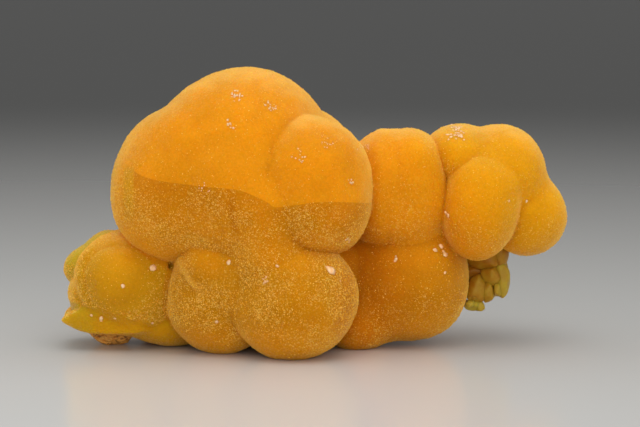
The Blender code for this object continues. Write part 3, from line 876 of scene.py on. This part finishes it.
def pale_material(colours):
    """Milky pinkish grains."""
    material, tree, shader = new_material("pale_grain")
    place = node(tree, "ShaderNodeTexCoord").outputs["Object"]
    clouds = node(tree, "ShaderNodeTexNoise", {"Vector": place, "Scale": 4000.0}).outputs["Fac"]
    colour = mixed(tree, ramp(tree, clouds, 0.35, 0.65), tone(colours.pale), (0.96, 0.62, 0.34, 1.0))
    tree.links.new(colour, shader.inputs["Base Color"])
    shader.inputs["Roughness"].default_value = 0.25
    shader.inputs["Subsurface Weight"].default_value = 0.3
    shader.inputs["Subsurface Radius"].default_value = (1.0, 0.7, 0.5)
    shader.inputs["Subsurface Scale"].default_value = 0.0002
    tree.links.new(facets(tree, place, ((9000.0, 0.5),)), shader.inputs["Normal"])
    return material


def olive_material(colours):
    """Olive crystal blocks, some brown and some yellow-green, cloudy, with a resinous lustre."""
    material, tree, shader = new_material("olive_crystal")
    place = node(tree, "ShaderNodeTexCoord").outputs["Object"]
    clouds = node(tree, "ShaderNodeTexNoise", {"Vector": place, "Scale": 1100.0, "Detail": 4.0}).outputs["Fac"]
    hue = sums(tree, "ADD", attribute(tree, "hue"), ramp(tree, clouds, 0.3, 0.7, -0.22, 0.22))
    colour = mixed(tree, sums(tree, "MINIMUM", sums(tree, "MAXIMUM", hue, 0.0), 1.0), tone(colours.umber), tone(colours.olive))
    tree.links.new(colour, shader.inputs["Base Color"])
    shader.inputs["Roughness"].default_value = 0.38
    shader.inputs["Specular IOR Level"].default_value = 0.3
    shader.inputs["Specular Tint"].default_value = (1.0, 0.85, 0.5, 1.0)
    shader.inputs["Subsurface Weight"].default_value = 0.5
    shader.inputs["Subsurface Radius"].default_value = (1.0, 0.7, 0.15)
    shader.inputs["Subsurface Scale"].default_value = 0.0005
    tree.links.new(facets(tree, place, ((5000.0, 0.16),)), shader.inputs["Normal"])
    return material


def matrix_material(colours):
    """Dry brown rock with rusty and dark specks."""
    material, tree, shader = new_material("brown_rock")
    place = node(tree, "ShaderNodeTexCoord").outputs["Object"]
    clouds = node(tree, "ShaderNodeTexNoise", {"Vector": place, "Scale": 1800.0, "Detail": 6.0}).outputs["Fac"]
    colour = mixed(tree, ramp(tree, clouds, 0.3, 0.7), tone(colours.matrix), (0.85, 0.46, 0.10, 1.0))
    colour = mixed(tree, ramp(tree, clouds, 0.56, 0.64), colour, (0.34, 0.12, 0.015, 1.0))
    tree.links.new(colour, shader.inputs["Base Color"])
    shader.inputs["Roughness"].default_value = 0.8
    bump = node(tree, "ShaderNodeBump", {"Height": clouds, "Distance": 0.0001, "Strength": 0.8})
    tree.links.new(bump.outputs[0], shader.inputs["Normal"])
    return material


def floor_material(colours):
    """Pale lacquered floor that darkens evenly away from a spot in front of the specimen."""
    material, tree, shader = new_material("floor")
    place = node(tree, "ShaderNodeTexCoord").outputs["Object"]
    moved = node(tree, "ShaderNodeVectorMath", {0: place, 1: (0.02, 0.04, 0.0)}, operation="ADD").outputs[0]
    away = node(tree, "ShaderNodeVectorMath", {0: moved}, operation="LENGTH").outputs["Value"]
    share = sums(tree, "POWER", ramp(tree, away, 0.02, 0.40), 0.6)
    colour = mixed(tree, share, tone(colours.floor_near), tone(colours.floor_far))
    tree.links.new(colour, shader.inputs["Base Color"])
    shader.inputs["Roughness"].default_value = 0.20
    shader.inputs["IOR"].default_value = 1.45
    shader.inputs["Specular IOR Level"].default_value = 0.35
    return material


def set_floor(sizes, material):
    """A flat disc: a ring of points round the middle, at the level that the specimen rests on."""
    angle = 2.0 * math.pi * np.arange(96) / 96
    ring = np.stack([np.cos(angle), np.sin(angle), np.zeros(96)], axis=1) * sizes.floor_radius
    points = np.concatenate([[[0.0, 0.0, 0.0]], ring])
    faces = np.stack([np.zeros(96, int), 1 + np.arange(96), 1 + (np.arange(96) + 1) % 96], axis=1)
    floor = new_piece("floor", points, [faces], material)


def add_softbox(name, place, size, power, colour=(1.0, 1.0, 1.0)):
    """A square area light that faces the specimen."""
    light = bpy.data.lights.new(name, "AREA")
    light.size = size
    light.energy = power
    light.color = colour
    lamp = bpy.data.objects.new(name, light)
    lamp.location = place
    lamp.rotation_mode = "QUATERNION"
    lamp.rotation_quaternion = (Vector((0.0, 0.0, 0.012)) - Vector(place)).to_track_quat("-Z", "Y")
    bpy.context.scene.collection.objects.link(lamp)


def set_lights():
    """A soft light overhead, a weak one in front, and a surround that is darkest low behind the specimen."""
    add_softbox("overhead", (0.03, -0.12, 0.40), 0.32, 0.47)
    add_softbox("front", (0.05, -0.45, 0.05), 0.30, 0.76)
    world = bpy.data.worlds.new("surround")
    world.use_nodes = True
    tree = world.node_tree
    place = node(tree, "ShaderNodeTexCoord").outputs["Generated"]
    parts = node(tree, "ShaderNodeSeparateXYZ", {0: place})
    above = ramp(tree, parts.outputs["Z"], 0.0, 0.7, 0.0, 0.42)
    before = ramp(tree, parts.outputs["Y"], 0.9, 0.1, 0.08, 0.58)
    tree.links.new(sums(tree, "ADD", above, before), tree.nodes["Background"].inputs["Color"])
    bpy.context.scene.world = world


def set_camera():
    """The camera at the photo's angle."""
    place, _, _, back = camera_axes()
    data = bpy.data.cameras.new("camera")
    data.lens, data.sensor_width = LENS, SENSOR
    data.clip_start, data.clip_end = 0.005, 20.0
    camera = bpy.data.objects.new("camera", data)
    camera.location = place
    camera.rotation_mode = "QUATERNION"
    camera.rotation_quaternion = Vector(-back).to_track_quat("-Z", "Y")
    bpy.context.scene.collection.objects.link(camera)
    bpy.context.scene.camera = camera
    bpy.context.scene.view_settings.view_transform = "Standard"


class MIMETITE_OT_mass(bpy.types.Operator):
    """Grow the mass of globules"""

    bl_idname = "mimetite.mass"
    bl_label = "Globules"

    def execute(self, context):
        scene = context.scene
        mass = grow_mass(scene.mimetite_sizes, mimetite_material(scene.mimetite_colours))
        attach(mass, "root")
        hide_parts("mimetite_mass")
        return {"FINISHED"}


class MIMETITE_OT_druse(bpy.types.Operator):
    """Scatter the loose druse crystals over the globules"""

    bl_idname = "mimetite.druse"
    bl_label = "Druse"

    def execute(self, context):
        scene = context.scene
        mass = bpy.data.objects["mimetite_globules"]
        material = druse_material(scene.mimetite_colours)
        for name, seed in (("druse_early", 11), ("druse_middle", 12), ("druse_late", 13)):
            druse = grow_druse(mass, scene.mimetite_sizes, material, name, seed)
            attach(druse, "root")
        return {"FINISHED"}


class MIMETITE_OT_grains(bpy.types.Operator):
    """Set the pale grains in the globules"""

    bl_idname = "mimetite.grains"
    bl_label = "Pale grains"

    def execute(self, context):
        mass = bpy.data.objects["mimetite_globules"]
        grains = grow_grains(mass, pale_material(context.scene.mimetite_colours))
        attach(grains, "root")
        return {"FINISHED"}


class MIMETITE_OT_cluster(bpy.types.Operator):
    """Grow the olive crystals under the arm"""

    bl_idname = "mimetite.cluster"
    bl_label = "Olive cluster"

    def execute(self, context):
        cluster = grow_cluster(olive_material(context.scene.mimetite_colours))
        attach(cluster, "root")
        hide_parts("olive_cluster")
        return {"FINISHED"}


class MIMETITE_OT_matrix(bpy.types.Operator):
    """Crumble the brown matrix under the lip"""

    bl_idname = "mimetite.matrix"
    bl_label = "Brown matrix"

    def execute(self, context):
        matrix = grow_matrix(matrix_material(context.scene.mimetite_colours))
        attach(matrix, "root")
        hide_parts("brown_matrix")
        return {"FINISHED"}


class MIMETITE_OT_stage(bpy.types.Operator):
    """Set the floor, lights and camera"""

    bl_idname = "mimetite.stage"
    bl_label = "Stage"

    def execute(self, context):
        scene = context.scene
        set_floor(scene.mimetite_sizes, floor_material(scene.mimetite_colours))
        set_lights()
        set_camera()
        return {"FINISHED"}


class MIMETITE_PT_panel(bpy.types.Panel):
    """Lists the sizes, the colours and the steps"""

    bl_idname = "MIMETITE_PT_panel"
    bl_label = "Mimetite specimen"
    bl_space_type = "VIEW_3D"
    bl_region_type = "UI"
    bl_category = "Mimetite"

    def draw(self, context):
        for group in (context.scene.mimetite_sizes, context.scene.mimetite_colours):
            for name in group.__annotations__:
                self.layout.prop(group, name)
        for operator in OPERATORS:
            self.layout.operator(operator.bl_idname)


OPERATORS = (
    MIMETITE_OT_mass, MIMETITE_OT_druse, MIMETITE_OT_grains, MIMETITE_OT_cluster, MIMETITE_OT_matrix,
    MIMETITE_OT_stage,
)
CLASSES = (MimetiteSizes, MimetiteColours, *OPERATORS, MIMETITE_PT_panel)


def register():
    for each in CLASSES:
        bpy.utils.register_class(each)
    bpy.types.Scene.mimetite_sizes = PointerProperty(type=MimetiteSizes)
    bpy.types.Scene.mimetite_colours = PointerProperty(type=MimetiteColours)


def unregister():
    del bpy.types.Scene.mimetite_colours
    del bpy.types.Scene.mimetite_sizes
    for each in reversed(CLASSES):
        bpy.utils.unregister_class(each)


def main():
    register()
    bpy.ops.mimetite.mass()
    bpy.ops.mimetite.druse()
    bpy.ops.mimetite.grains()
    bpy.ops.mimetite.cluster()
    bpy.ops.mimetite.matrix()
    bpy.ops.mimetite.stage()


if __name__ == "__main__":
    main()
